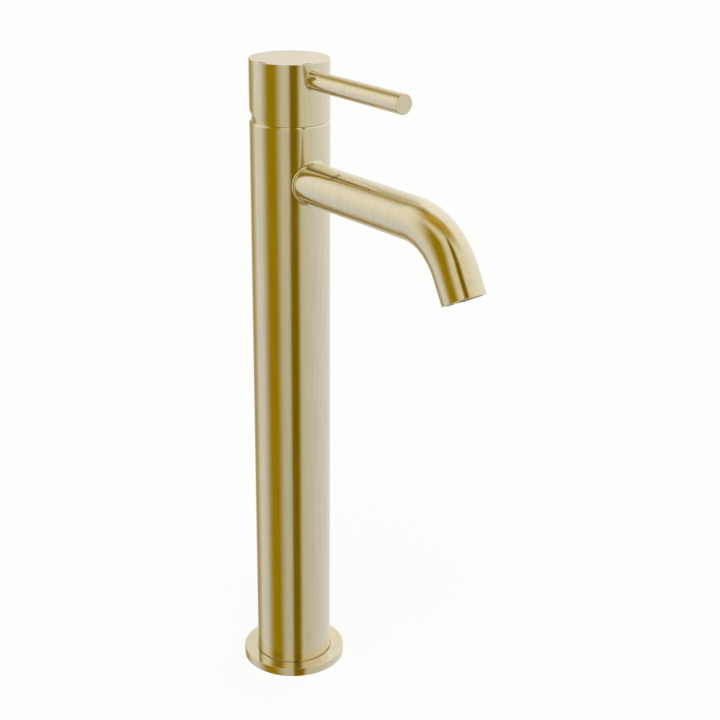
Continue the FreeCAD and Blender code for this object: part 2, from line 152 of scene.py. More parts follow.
def portedWall(radius, heights, ports, turn, rings=12):
    # a round wall on a grid of angle and height; round each port the cells give way to rings
    # that run straight, on the unrolled wall, from the cells' edge to the drilled circle
    turns, zs = np.meshgrid(turn, heights, indexing="ij")
    keep = np.ones((len(turn) - 1, len(heights) - 1), bool)
    sheets = []
    for port in ports:
        iLow, iHigh = portCells(port, turn)
        keep[iLow:iHigh, 1:-1] = False
        i, j = cellLoop(iLow, iHigh, 1, len(heights) - 2)
        bearing = portBearing(port, turn, heights)
        edgeTurn = np.arcsin(port["radius"] * np.sin(bearing) / radius)
        edgeHeight = port["radius"] * np.cos(bearing)
        share = np.linspace(0, 1, rings + 1)
        t = port["angle"] + (turn[i] - port["angle"])[:, None] * (1 - share) + edgeTurn[:, None] * share
        z = port["z"] + (heights[j] - port["z"])[:, None] * (1 - share) + edgeHeight[:, None] * share
        sheets.append((onWall(radius, t, z), np.stack([z, radius * t], axis=-1), None))
    sheets.append((onWall(radius, turns, zs), np.stack([zs, radius * turns], axis=-1), keep))
    return sheets


def portBore(port, bearing, wallRadius, floor):
    # the drilled wall from the round wall's surface to floor(sideways), square to the port's face
    sideways = port["radius"] * np.sin(bearing)
    z = port["z"] + port["radius"] * np.cos(bearing)
    depth = np.stack([np.sqrt(wallRadius ** 2 - sideways ** 2), floor(sideways)], axis=-1)
    x = -math.sin(port["angle"]) * np.broadcast_to(sideways[:, None], depth.shape)
    y = math.sin(port["angle"]) * depth
    zs = np.broadcast_to(z[:, None], depth.shape)
    uv = np.stack([port["radius"] * np.broadcast_to(bearing[:, None], depth.shape), depth], axis=-1)
    return np.stack([x, y, zs], axis=-1), uv, None


def portFloor(port, bearing, depth):  # a disc across the end of a drilled hole
    r = port["radius"] * np.array([1.0, 0.0])
    x = -math.sin(port["angle"]) * np.sin(bearing)[:, None] * r
    z = port["z"] + np.cos(bearing)[:, None] * r
    y = np.full_like(x, math.sin(port["angle"]) * depth)
    return np.stack([x, y, z], axis=-1), np.stack([x, z], axis=-1), None


def sheetMesh(name, sheets):  # the sheets of a piece as one loose mesh, with the map for the brushing
    points, uvs, faces = [], [], []
    start = 0
    for grid, uv, keep in sheets:
        rows, columns = grid.shape[:2]
        quads = gridQuads(rows, columns, start)
        faces.append(quads.reshape(-1, 4) if keep is None else quads[keep])
        points.append(grid.reshape(-1, 3))
        uvs.append(uv.reshape(-1, 2))
        start += rows * columns
    faces = np.concatenate(faces)
    mesh = bpy.data.meshes.new(name)
    mesh.from_pydata(np.concatenate(points).tolist(), [], faces.tolist())
    brushMap = mesh.uv_layers.new(name="brush")
    brushMap.data.foreach_set("uv", np.concatenate(uvs)[faces.ravel()].astype(np.float32).ravel())
    return mesh


def closeMesh(mesh):  # welds the sheets and turns the faces outwards; gives the open edges and the volume
    form = bmesh.new()
    form.from_mesh(mesh)
    bmesh.ops.remove_doubles(form, verts=form.verts, dist=weldGap)
    bmesh.ops.delete(form, geom=[v for v in form.verts if not v.link_faces], context="VERTS")
    bmesh.ops.recalc_face_normals(form, faces=form.faces)
    openEdges = sum(not edge.is_manifold for edge in form.edges)
    volume = form.calc_volume(signed=True)
    form.to_mesh(mesh)
    form.free()
    return openEdges, volume


def addPiece(name, sheets, finish, body, slot, *replaced):
    mesh = sheetMesh(name, sheets)
    openEdges, volume = closeMesh(mesh)
    mesh.polygons.foreach_set("use_smooth", np.ones(len(mesh.polygons), bool))
    mesh.set_sharp_from_angle(angle=sharpAngle)
    mesh.materials.append(finish)
    piece = bpy.data.objects.new(name, mesh)
    bpy.context.scene.collection.objects.link(piece)
    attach(piece, body)
    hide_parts(*replaced)
    print("piece", name, len(mesh.polygons), "faces, open edges", openEdges, "cm3", round(volume * 1e6, 3))


# Finishes

noiseSpan = (0.3, 0.7)  # most noise lies between these two values


def newFinish(name):
    finish = bpy.data.materials.new(name)
    finish.use_nodes = True
    return finish, finish.node_tree, finish.node_tree.nodes["Principled BSDF"]


def put(tree, socket, value):
    if isinstance(value, bpy.types.NodeSocket):
        tree.links.new(value, socket)
    else:
        socket.default_value = value


def calc(tree, operation, *values):  # one step of arithmetic on sockets or numbers
    node = tree.nodes.new("ShaderNodeMath")
    node.operation = operation
    for socket, value in zip(node.inputs, values):
        put(tree, socket, value)
    return node.outputs[0]


def ease(tree, value, low, high, start=0.0, end=1.0):  # a smooth step between two values
    node = tree.nodes.new("ShaderNodeMapRange")
    node.interpolation_type = "SMOOTHSTEP"
    for socket, given in zip(node.inputs, (value, low, high, start, end)):
        put(tree, socket, given)
    return node.outputs[0]


def weighted(tree, first, share, second):  # a share of the first value and the rest of the second
    return calc(tree, "MULTIPLY_ADD", first, share, calc(tree, "MULTIPLY", second, 1 - share))


def mixColor(tree, share, first, second, blend="MIX"):
    node = tree.nodes.new("ShaderNodeMix")
    node.data_type = "RGBA"
    node.blend_type = blend
    for index, value in ((0, share), (6, first), (7, second)):
        put(tree, node.inputs[index], value)
    return node.outputs[2]


def rgba(color):
    return (*color, 1.0)


def shaded(color, gain):
    return rgba([channel * gain for channel in color])


def swung(tree, value, color, swing):  # the colour, a little darker or lighter as the value goes
    return mixColor(tree, ease(tree, value, *noiseSpan), shaded(color, 1 - swing), shaded(color, 1 + swing))


def noise(tree, vector, scale, detail, flat=False):
    node = tree.nodes.new("ShaderNodeTexNoise")
    node.noise_dimensions = "2D" if flat else "3D"
    node.inputs["Scale"].default_value = scale
    node.inputs["Detail"].default_value = detail
    tree.links.new(vector, node.inputs["Vector"])
    return node.outputs["Fac"]


def stretched(tree, vector, scale):
    node = tree.nodes.new("ShaderNodeMapping")
    node.inputs["Scale"].default_value = scale
    tree.links.new(vector, node.inputs["Vector"])
    return node.outputs["Vector"]


def bumped(tree, shader, height, strength, distance):
    node = tree.nodes.new("ShaderNodeBump")
    node.inputs["Strength"].default_value = strength
    node.inputs["Distance"].default_value = distance
    tree.links.new(height, node.inputs["Height"])
    tree.links.new(node.outputs["Normal"], shader.inputs["Normal"])


goldLook = {
    "color": (0.83, 0.775, 0.635),
    "streakLength": 26 * mm,
    "streakWidth": 0.34 * mm,
    "bandWidth": 2.6 * mm,
    "bandShare": 0.4,
    "colorSwing": 0.035,
    "roughness": (0.075, 0.12),
    "anisotropy": 0.5,
    "sheenTurn": 0.25,  # a quarter turn, so that the sheen spreads across the brushing
    "bump": (0.05, 0.01 * mm),
    "handling": 9.0,  # soft patches per metre, where the sheen changes a little
    "handlingShare": 0.5,
}


def brushedGold():
    # fine and broad streaks along the brush map make colour, sheen and relief; soft patches vary the sheen
    look = goldLook
    finish, tree, shader = newFinish("brushedGold")
    brushMap = tree.nodes.new("ShaderNodeUVMap")
    brushMap.uv_map = "brush"
    along = 1 / look["streakLength"]
    fineMap = stretched(tree, brushMap.outputs[0], (along, 1 / look["streakWidth"], 1))
    bandMap = stretched(tree, brushMap.outputs[0], (along, 1 / look["bandWidth"], 1))
    fine = noise(tree, fineMap, scale=1, detail=2, flat=True)
    band = noise(tree, bandMap, scale=1, detail=1, flat=True)
    streak = weighted(tree, band, look["bandShare"], fine)
    place = tree.nodes.new("ShaderNodeTexCoord").outputs["Object"]
    sheen = noise(tree, place, look["handling"], detail=2)
    worn = weighted(tree, sheen, look["handlingShare"], streak)
    tree.links.new(swung(tree, streak, look["color"], look["colorSwing"]), shader.inputs["Base Color"])
    tree.links.new(ease(tree, worn, *noiseSpan, *look["roughness"]), shader.inputs["Roughness"])
    bumped(tree, shader, fine, *look["bump"])
    shader.inputs["Metallic"].default_value = 1
    shader.inputs["Anisotropic"].default_value = look["anisotropy"]
    shader.inputs["Anisotropic Rotation"].default_value = look["sheenTurn"]
    tangent = tree.nodes.new("ShaderNodeTangent")
    tangent.direction_type = "UV_MAP"
    tangent.uv_map = "brush"
    tree.links.new(tangent.outputs[0], shader.inputs["Tangent"])
    return finish


grainLook = {
    "cloudScale": 0.08,  # next to the grain's own scale
    "speckShare": 0.6,
    "relief": 0.1,  # how high the bump stands, in grains
}


def grainFinish(name, color, swing, metal, roughness, grain, stretch=(1, 1, 1), bump=0.1):
    # colour, roughness and relief all follow one grain, fine noise on the piece's own place
    finish, tree, shader = newFinish(name)
    place = tree.nodes.new("ShaderNodeTexCoord").outputs["Object"]
    speck = noise(tree, stretched(tree, place, stretch), 1 / grain, detail=4)
    cloud = noise(tree, place, grainLook["cloudScale"] / grain, detail=2)
    mixed = weighted(tree, speck, grainLook["speckShare"], cloud)
    tree.links.new(swung(tree, mixed, color, swing), shader.inputs["Base Color"])
    tree.links.new(ease(tree, mixed, *noiseSpan, *roughness), shader.inputs["Roughness"])
    bumped(tree, shader, speck, bump, grain * grainLook["relief"])
    shader.inputs["Metallic"].default_value = metal
    return finish


grainLooks = {
    "raw_brass": {"name": "turnedBrass", "color": (0.71, 0.55, 0.27), "swing": 0.08, "metal": 1,
                  "roughness": (0.24, 0.4), "grain": 0.5 * mm, "stretch": (1, 1, 6)},
    "copper_tube": {"name": "drawnCopper", "color": (0.72, 0.40, 0.26), "swing": 0.1, "metal": 1,
                    "roughness": (0.22, 0.4), "grain": 0.8 * mm, "stretch": (1, 1, 0.05)},
    "black_rubber": {"name": "seatRubber", "color": (0.028, 0.028, 0.03), "swing": 0.2, "metal": 0,
                     "roughness": (0.6, 0.8), "grain": 0.25 * mm, "bump": 0.3},
    "cartridge_plastic": {"name": "paleNylon", "color": (0.78, 0.78, 0.75), "swing": 0.03, "metal": 0,
                          "roughness": (0.4, 0.55), "grain": 0.4 * mm},
    "disc_ceramic": {"name": "lappedCeramic", "color": (0.86, 0.86, 0.83), "swing": 0.02, "metal": 0,
                     "roughness": (0.1, 0.2), "grain": 0.3 * mm, "bump": 0.03},
    "hard_steel": {"name": "groundSteel", "color": (0.42, 0.42, 0.43), "swing": 0.1, "metal": 1,
                   "roughness": (0.25, 0.4), "grain": 0.2 * mm, "stretch": (1, 8, 1)},
    "aerator_plastic": {"name": "greyAcetal", "color": (0.33, 0.33, 0.32), "swing": 0.06, "metal": 0,
                        "roughness": (0.35, 0.5), "grain": 0.3 * mm},
    "red_enamel": {"name": "redEnamel", "color": (0.45, 0.045, 0.04), "swing": 0.06, "metal": 0,
                   "roughness": (0.15, 0.25), "grain": 0.3 * mm, "bump": 0.04},
    "blue_enamel": {"name": "blueEnamel", "color": (0.12, 0.17, 0.42), "swing": 0.06, "metal": 0,
                    "roughness": (0.15, 0.25), "grain": 0.3 * mm, "bump": 0.04},
}
gold = brushedGold()
finishes = {"brushed_gold": gold}
for slotName, look in grainLooks.items():
    finishes[slotName] = grainFinish(**look)
for row in frame["record"]["subparts"]:  # every carried-over node gets its finish
    for materialSlot in frame["nodes"][row["node"]].material_slots:
        materialSlot.material = finishes[row["material_slot"]]
print("finishes:", len(finishes))


# Base flange

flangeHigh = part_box("base_flange")[1]
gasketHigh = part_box("base_gasket")[1]
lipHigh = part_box("base_insert")[1]
flange = {
    "radius": flangeHigh.x,
    "top": flangeHigh.z,
    "gasketRadius": gasketHigh.x,
    "gasketWidth": 3.2 * mm,
    "gasketDepth": gasketHigh.z,
    "lipRadius": lipHigh.x + 0.1 * mm,
    "lipDepth": 1.6 * mm,
    "bore": 18.1 * mm,
    "edge": 0.25 * mm,
    "seatRadius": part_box("column_tube")[1].x + 0.3 * mm,  # the gap shows as a line round the column's foot
    "seat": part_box("column_tube")[0].z,
    "bevel": 0.35 * mm,
    "columns": 256,
}


def flangeSheets():
    # outlines of (height, radius) turned about the axis: the softened rim, the top face, the bevelled edge
    # of the column's recess, the recess itself, and the underside with the groove for the gasket
    f, turn = flange, ringOf(flange["columns"])
    inner = f["gasketRadius"] - f["gasketWidth"]
    faceRadius = f["radius"] - 2 * f["edge"]
    bevelled = f["seatRadius"] + f["bevel"]
    rim = softened([(0, faceRadius), (0, f["radius"]), (f["top"], f["radius"]), (f["top"], faceRadius)],
                   f["edge"])
    face = [(f["top"], faceRadius), (f["top"], bevelled)]
    edge = [(f["top"], bevelled), (f["top"] - f["bevel"], f["seatRadius"]), (f["seat"], f["seatRadius"])]
    seat = [(f["seat"], f["seatRadius"]), (f["seat"], f["bore"])]
    under = [(f["seat"], f["bore"]), (f["lipDepth"], f["bore"]), (f["lipDepth"], f["lipRadius"]),
             (0, f["lipRadius"]), (0, inner), (f["gasketDepth"], inner),
             (f["gasketDepth"], f["gasketRadius"]), (0, f["gasketRadius"]), (0, faceRadius)]
    brushed = ((rim, "around"), (face, "flat"), (edge, "around"), (seat, "flat"), (under, "flat"))
    return [carry(outline, upright, turn, brush) for outline, brush in brushed]


addPiece("baseFlange", flangeSheets(), gold, "fixed_body", "brushed_gold", "base_flange")


# Spout: sizes that the column needs too

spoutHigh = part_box("spout_tube")[1]
collarLow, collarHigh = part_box("spout_collar")
spout = {
    "radius": spoutHigh.x,
    "bore": spoutHigh.x - 1.75 * mm,
    "root": -spoutHigh.y,
    "axis": (collarLow.z + collarHigh.z) / 2,
    "run": 95.3 * mm,
    "bendRadius": 34.5 * mm,
    "bend": math.radians(61.6),
    "nose": 12.9 * mm,
    "rim": 0.3 * mm,
    "port": spoutHigh.x + 0.3 * mm,
    "blend": 1.6 * mm,
    "columns": 160,
    "bendSteps": 64,
}
bendEnd = spout["run"] + spout["bendRadius"] * spout["bend"]
spoutEnd = bendEnd + spout["nose"]


# Column tube

columnLow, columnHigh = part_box("column_tube")
column = {
    "radius": columnHigh.x,
    "bore": columnHigh.x - 2.0 * mm,
    "foot": columnLow.z,
    "rim": columnHigh.z,
    "footRound": 0.2 * mm,
    "footSteps": 10,
    "rimChamfer": 1.0 * mm,
    "rimChamferIn": 0.55 * mm,
    "soft": 0.12 * mm,
    "columns": 256,
    "portSpread": math.radians(50),  # half the width of the cells that the spout's port takes up
    "portReach": 1.4,  # half their height, in port radii
    "portRows": 25,
}


def columnSheets():
    # an outer and an inner round wall with the spout's port through both, and outlines of (height, radius)
    # turned about the axis for the rounded foot and the chamfered rim
    c, turn = column, ringOf(column["columns"])
    port = {"angle": frontAngle, "z": spout["axis"], "radius": spout["port"], "spread": c["portSpread"],
            "wall": c["radius"]}
    wallStart, wallEnd = c["foot"] + 2 * c["footRound"], c["rim"] - 2 * c["rimChamfer"]
    reach = c["portReach"] * port["radius"]
    rows = np.linspace(port["z"] - reach, port["z"] + reach, c["portRows"])
    outer = np.concatenate([[wallStart], rows, [wallEnd]])
    inner = np.concatenate([[c["foot"]], rows, [c["rim"]]])
    foot = softened([(c["foot"], c["bore"]), (c["foot"], c["radius"]), (wallStart, c["radius"])],
                    c["footRound"], c["footSteps"])
    top = softened([(wallEnd, c["radius"]), (c["rim"] - c["rimChamfer"], c["radius"]),
                    (c["rim"], c["radius"] - c["rimChamferIn"]), (c["rim"], c["bore"])], c["soft"])

    def innerWall(sideways):
        return np.sqrt(c["bore"] ** 2 - sideways ** 2)

    sheets = portedWall(c["radius"], outer, [port], turn) + portedWall(c["bore"], inner, [port], turn)
    sheets.append(portBore(port, portBearing(port, turn, outer), c["radius"], innerWall))
    sheets.append(carry(foot, upright, turn, "along"))
    sheets.append(carry(top, upright, turn, "around"))
    return sheets


addPiece("columnTube", columnSheets(), gold, "fixed_body", "brushed_gold", "column_tube")


# Spout tube, root collar and aerator

def spoutPath(s):
    # straight to the bend, round it by (s - run) / bend radius, then straight down the nose
    angle = np.clip((s - spout["run"]) / spout["bendRadius"], 0, spout["bend"])
    past = np.maximum(s - bendEnd, 0)
    forward = (np.minimum(s, spout["run"]) + spout["bendRadius"] * np.sin(angle)
               + past * math.cos(spout["bend"]))
    drop = spout["bendRadius"] * (1 - np.cos(angle)) + past * math.sin(spout["bend"])
    centre = np.stack([0 * s, -forward, spout["axis"] - drop], axis=-1)
    lift = np.stack([0 * s, -np.sin(angle), np.cos(angle)], axis=-1)
    return centre, lift, np.array([1.0, 0, 0])


def spoutSheets():
    # outlines of (distance, radius) carried along the spout's path: outside, rounded lip, bore and root
    p, turn = spout, ringOf(spout["columns"])
    stations = np.concatenate([[p["root"]], np.linspace(p["run"], bendEnd, p["bendSteps"] + 1)])
    straight = spoutEnd - 3 * p["rim"]
    outside = np.stack([np.append(stations, straight), np.full(len(stations) + 1, p["radius"])], axis=-1)
    lip = softened([(straight, p["radius"]), (spoutEnd, p["radius"]), (spoutEnd, p["bore"]),
                    (straight, p["bore"])], p["rim"])
    inside = np.stack([np.append(straight, stations[::-1]), np.full(len(stations) + 1, p["bore"])], axis=-1)
    root = [(p["root"], p["bore"]), (p["root"], p["radius"])]
    return [carry(outline, spoutPath, turn, "around") for outline in (outside, lip, inside, root)]


addPiece("spoutTube", spoutSheets(), gold, "fixed_body", "brushed_gold", "spout_tube")


def blendSheets(tube, port, ball, wall, axis, root, columns, steps=8):
    # the skin left by a ball rolled round the joint of a forward tube and an upright wall: its centre keeps
    # tube + ball from the tube's axis and wall + ball from the column's, and the skin spans its two contacts
    turn = ringOf(columns)
    sideways, upwards = np.sin(turn), np.cos(turn)

    def around(radius, forward):
        return np.stack([radius * sideways, -forward + 0 * turn, axis + radius * upwards], axis=-1)

    reach = tube + ball
    centre = around(reach, np.sqrt((wall + ball) ** 2 - (reach * sideways) ** 2))
    toTube = np.stack([-sideways, 0 * turn, -upwards], axis=-1)
    toWall = -centre * np.array([1, 1, 0]) / (wall + ball)
    opening = np.arccos(np.sum(toTube * toWall, axis=-1))[:, None, None]
    t = np.linspace(0, 1, steps + 1)[:, None]
    swing = np.sin((1 - t) * opening) * toTube[:, None] + np.sin(t * opening) * toWall[:, None]
    skin = centre[:, None] + ball * swing / np.sin(opening)
    hidden = [around(port, np.sqrt(wall ** 2 - (port * sideways) ** 2)), around(port, root),
              around(tube, root)]
    points = np.concatenate([skin, np.stack(hidden, axis=1), skin[:, :1]], axis=1)
    along = ball * np.linspace(0, 2, points.shape[1])  # the map's other way, over two ball radii
    uv = np.stack(np.broadcast_arrays(tube * turn[:, None], along), axis=-1)
    return [(points, uv, None)]


spoutBlend = blendSheets(spout["radius"], spout["port"], spout["blend"], column["radius"], spout["axis"],
                         spout["root"], spout["columns"])
addPiece("spoutCollar", spoutBlend, gold, "fixed_body", "brushed_gold", "spout_collar")

aerator = {
    "radius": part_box("aerator_housing")[1].x,
    "wall": 1.3 * mm,
    "length": 10.0 * mm,
    "out": 0.1 * mm,
    "notches": 6,
    "firstNotch": math.radians(-15),
    "notchWidth": 5.0 * mm,
    "notchDepth": 1.2 * mm,
    "flank": 0.02,  # the share of a notch that its sloping sides take
    "beside": 1.6,  # where each tooth's own columns start, in half notches from the notch's middle
    "toothSteps": 5,
    "edge": 0.12 * mm,
}


def aeratorSheets():
    # a ring whose outer end steps down at each notch: end = out - depth where the angle is in a notch
    a = aerator
    half = math.asin(a["notchWidth"] / 2 / a["radius"])
    pitch = fullTurn / a["notches"]
    steps = half * np.array([0, 0.5, 1 - a["flank"], 1 + a["flank"], a["beside"]])
    tooth = np.linspace(steps[-1], pitch - steps[-1], a["toothSteps"] + 1)[1:-1]
    pattern = np.concatenate([steps, tooth, pitch - steps[:0:-1]])
    turn = np.append((np.arange(a["notches"])[:, None] * pitch + pattern).ravel(), fullTurn)
    fromNotch = np.abs((turn + pitch / 2) % pitch - pitch / 2)
    end = spoutEnd + a["out"] - np.where(fromNotch < half, a["notchDepth"], 0)
    shoulder = end - a["edge"]
    back = np.full_like(turn, spoutEnd + a["out"] - a["length"])
    inner = a["radius"] - a["wall"]
    radii = [a["radius"], a["radius"], a["radius"] - a["edge"], inner + a["edge"], inner, inner, a["radius"]]
    s = np.stack([back, shoulder, end, end, shoulder, back, back], axis=-1)
    r = np.broadcast_to(radii, s.shape)
    centre, lift, side = spoutPath(s)
    angle = (turn + a["firstNotch"])[:, None, None]
    around = np.cos(angle) * lift + np.sin(angle) * side
    return [(centre + r[..., None] * around, np.stack([r * turn[:, None], s], axis=-1), None)]


addPiece("aeratorRing", aeratorSheets(), finishes["aerator_plastic"], "fixed_body", "aerator_plastic",
         "aerator_housing")


# Domed cover over the cartridge

coverLow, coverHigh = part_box("cartridge_cover")
cover = {
    "dome": coverHigh.x,
    "low": coverLow.z,
    "top": coverHigh.z,
    "wall": 1.0 * mm,
    "seat": 15.6 * mm,
    "opening": 9.77 * mm,
    "pivot": 305.0 * mm,
    "steps": 24,
    "columns": 192,
}


def coverSheets():
    # two skins of one sphere about the pivot, between a foot ring on the column's rim and a flat roof
    c = cover
    inner, foot = c["seat"] - c["wall"], column["rim"]

    def skin(radius, low, high):
        start, stop = math.asin((low - c["pivot"]) / radius), math.asin((high - c["pivot"]) / radius)
        rise = np.linspace(start, stop, c["steps"])
        return np.stack([c["pivot"] + radius * np.sin(rise), radius * np.cos(rise)], axis=-1)

    outline = np.concatenate([
        [(c["low"], inner), (c["low"], c["seat"]), (foot, c["seat"])],
        skin(c["dome"], foot, c["top"]),
        [(c["top"], c["opening"]), (c["top"] - c["wall"], c["opening"])],
        skin(c["dome"] - c["wall"], foot + c["wall"], c["top"] - c["wall"])[::-1],
        [(foot + c["wall"], inner), (c["low"], inner)],
    ])
    return [carry(outline, upright, ringOf(c["columns"]), "around")]


addPiece("cartridgeCover", coverSheets(), gold, "fixed_body", "brushed_gold", "cartridge_cover")


# Handle head with the enamel marks, lever and lever collar

headLow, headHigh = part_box("handle_head")
leverLow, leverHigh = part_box("lever_rod")
head = {
    "radius": headHigh.x,
    "low": headLow.z,
    "top": headHigh.z,
    "cavity": headHigh.x - 2.8 * mm,
    "cavityRoof": 320.95 * mm,
    "domeSpace": cover["dome"] + 0.4 * mm,
    "reliefFront": 8.0 * mm,
    "reliefSlope": 0.2959,
    "skirt": 7.8 * mm,  # from the lever's axis down to the part of the wall that the relief cuts
    "skirtRows": 4,
    "domeRows": 16,
    "lipRows": 3,
    "edgeRounds": 12,
    "rimWidth": 0.3 * mm,
    "rimDepth": 0.48 * mm,
    "rimRound": 0.24 * mm,
    "portReach": 6.8 * mm,  # half the height of the cells that the pocket and the screw's hole take up
    "portRows": 17,
    "pocketSpread": math.radians(24),
    "grubSpread": math.radians(12),
    "grubRadius": 2.0 * mm,
    "grubDepth": 9.0 * mm,
    "markMiddles": {"cold_mark": math.radians(260.4), "hot_mark": math.radians(189.6)},
    "markArc": math.radians(15),
    "markInset": 0.35 * mm,
    "markWidth": 2.0 * mm,
    "markDepth": 0.3 * mm,
    "markSink": 0.02 * mm,
    "topRings": (0.6, 0.3, 0),  # the rings of the top inside the marks, in head radii
    "columns": 256,
}
lever = {
    "radius": leverHigh.x,
    "reach": -leverLow.y,
    "axis": (leverLow.z + leverHigh.z) / 2,
    "chamfer": 0.15 * mm,
    "soft": 0.05 * mm,
    "spigot": 2.5 * mm,
    "spigotEnd": -leverHigh.y,
    "seat": -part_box("lever_collar")[1].y,
    "port": leverHigh.x + 0.2 * mm,
    "blend": 0.6 * mm,
    "columns": 96,
}


def headTurn():  # the head's columns, with the nearest ones moved to the marks' ends
    turn = ringOf(head["columns"])
    for middle in head["markMiddles"].values():
        for end in (middle - head["markArc"] / 2, middle + head["markArc"] / 2):
            turn[np.argmin(np.abs(turn - end))] = end
    return turn


def markColumns(name, turn):  # the first and last column of a mark
    middle, half = head["markMiddles"][name], head["markArc"] / 2
    return int(np.argmin(np.abs(turn - middle + half))), int(np.argmin(np.abs(turn - middle - half)))


def markRadii():  # the marks' outer and inner edge
    outer = head["radius"] - head["markInset"]
    return np.array([outer, outer - head["markWidth"]])


def topSheet(turn, radii, height, keep=None):  # a level face, a grid of angle and radius
    turns, r = np.meshgrid(turn, radii, indexing="ij")
    points = onWall(r, turns, np.full_like(r, height))
    return points, points[..., :2], keep


def edgeSheet(turn, radii, heights):  # a wall round a patch of the top, between two heights
    i, j = cellLoop(0, len(turn) - 1, 0, len(radii) - 1)
    t, r = np.stack([turn[i]] * 2, axis=-1), np.stack([radii[j]] * 2, axis=-1)
    points = onWall(r, t, np.broadcast_to(heights, t.shape))
    return points, points[..., :2], None


def headWall(turn):
    # the upright wall above the skirt, with the lever's pocket in front and the screw's hole at the back
    h = head
    pocket = {"angle": frontAngle, "z": lever["axis"], "radius": lever["port"], "spread": h["pocketSpread"],
              "wall": h["radius"]}
    grub = {"angle": backAngle, "z": lever["axis"], "radius": h["grubRadius"], "spread": h["grubSpread"],
            "wall": h["radius"]}
    rows = np.linspace(lever["axis"] - h["portReach"], lever["axis"] + h["portReach"], h["portRows"])
    heights = np.concatenate([[lever["axis"] - h["skirt"]], rows, [h["top"] - h["rimDepth"]]])
    sheets = portedWall(h["radius"], heights, [pocket, grub], turn)
    for port, depth in ((pocket, lever["seat"]), (grub, h["grubDepth"])):
        bearing = portBearing(port, turn, heights)
        sheets.append(portBore(port, bearing, h["radius"], lambda sideways: 0 * sideways + depth))
        sheets.append(portFloor(port, bearing, depth))
    return sheets


def lowEdge(turn, radius):  # the head's lower edge rises towards the back, so that it can tip
    return head["low"] + np.maximum(radius * np.sin(turn) + head["reliefFront"], 0) * head["reliefSlope"]


def cavityRadius(z):  # upright below the pivot, a sphere about it above, then the plain bore
    ball = np.sqrt(head["domeSpace"] ** 2 - np.clip(z - cover["pivot"], 0, head["domeSpace"]) ** 2)
    return np.maximum(ball, head["cavity"])


def risingWall(turn, radiusAt, start, end, rows):  # from a start height for each angle up to one level
    share = np.linspace(0, 1, rows)
    z = start[:, None] * (1 - share) + end * share
    t, r = np.broadcast_to(turn[:, None], z.shape), radiusAt(z)
    return onWall(r, t, z), np.stack([z, r * t], axis=-1), None


def headSkirt(turn):
    # the slanting lower edge, the outer wall above it, and the cavity round the dome up to its flat roof
    h = head
    outerEdge, innerEdge = lowEdge(turn, h["radius"]), lowEdge(turn, h["domeSpace"])
    for again in range(h["edgeRounds"]):  # closes in on where the cavity's wall meets the relief
        innerEdge = lowEdge(turn, cavityRadius(innerEdge))
    meet = cover["pivot"] + math.sqrt(h["domeSpace"] ** 2 - h["cavity"] ** 2)
    share = np.linspace(0, 1, h["lipRows"])
    r = h["radius"] * (1 - share) + cavityRadius(innerEdge)[:, None] * share
    z = outerEdge[:, None] * (1 - share) + innerEdge[:, None] * share
    lip = (onWall(r, turn[:, None] + 0 * r, z), np.stack([r * turn[:, None], r], axis=-1), None)

    def outerRadius(z):
        return np.full_like(z, h["radius"])

    return [
        risingWall(turn, outerRadius, outerEdge, lever["axis"] - h["skirt"], h["skirtRows"]),
        risingWall(turn, cavityRadius, innerEdge, meet, h["domeRows"]),
        risingWall(turn, cavityRadius, 0 * turn + meet, h["cavityRoof"], 2),
        lip,
        topSheet(turn, np.array([h["cavity"], h["cavity"] / 2, 0]), h["cavityRoof"]),
    ]


def headTop(turn):
    # the softened rim and the level top, whose cells give way to a shallow bed at each mark
    h, marks = head, markRadii()
    shoulder, floor = h["radius"] - h["rimWidth"], h["top"] - h["markDepth"]
    rim = softened([(h["top"] - h["rimDepth"], h["radius"]), (h["top"], h["radius"]), (h["top"], shoulder)],
                   h["rimRound"])
    sheets = [carry(rim, upright, turn, "along")]
    radii = np.concatenate([[shoulder], marks, h["radius"] * np.array(h["topRings"])])
    keep = np.ones((len(turn) - 1, len(radii) - 1), bool)
    for name in h["markMiddles"]:
        iLow, iHigh = markColumns(name, turn)
        keep[iLow:iHigh, 1] = False
        arc = turn[iLow:iHigh + 1]
        sheets.append(topSheet(arc, marks, floor))
        sheets.append(edgeSheet(arc, marks, (h["top"], floor)))
    sheets.append(topSheet(turn, radii, h["top"], keep))
    return sheets


def headSheets():
    turn = headTurn()
    return headWall(turn) + headSkirt(turn) + headTop(turn)


def markSheets(name):  # a thin tile that fills its bed: top, floor and the wall between them
    turn = headTurn()
    iLow, iHigh = markColumns(name, turn)
    arc, marks = turn[iLow:iHigh + 1], markRadii()
    top, floor = head["top"] - head["markSink"], head["top"] - head["markDepth"]
    return [topSheet(arc, marks, top), topSheet(arc, marks, floor), edgeSheet(arc, marks, (top, floor))]


def leverSheets():
    # outlines of (distance, radius) carried straight forward: spigot and shank, chamfered tip, end face
    v, turn, path = lever, ringOf(lever["columns"]), forwardAt(lever["axis"])
    tipStart, faceRadius = v["reach"] - 4 * v["chamfer"], v["radius"] - 2 * v["chamfer"]
    shank = [(v["spigotEnd"], 0), (v["spigotEnd"], v["spigot"]), (v["seat"], v["spigot"]),
             (v["seat"], v["radius"]), (tipStart, v["radius"])]
    tip = softened([(tipStart, v["radius"]), (v["reach"] - v["chamfer"], v["radius"]),
                    (v["reach"], v["radius"] - v["chamfer"]), (v["reach"], faceRadius)], v["soft"])
    face = [(v["reach"], faceRadius), (v["reach"], 0)]
    brushed = ((shank, "around"), (tip, "around"), (face, "flat"))
    return [carry(outline, path, turn, brush) for outline, brush in brushed]


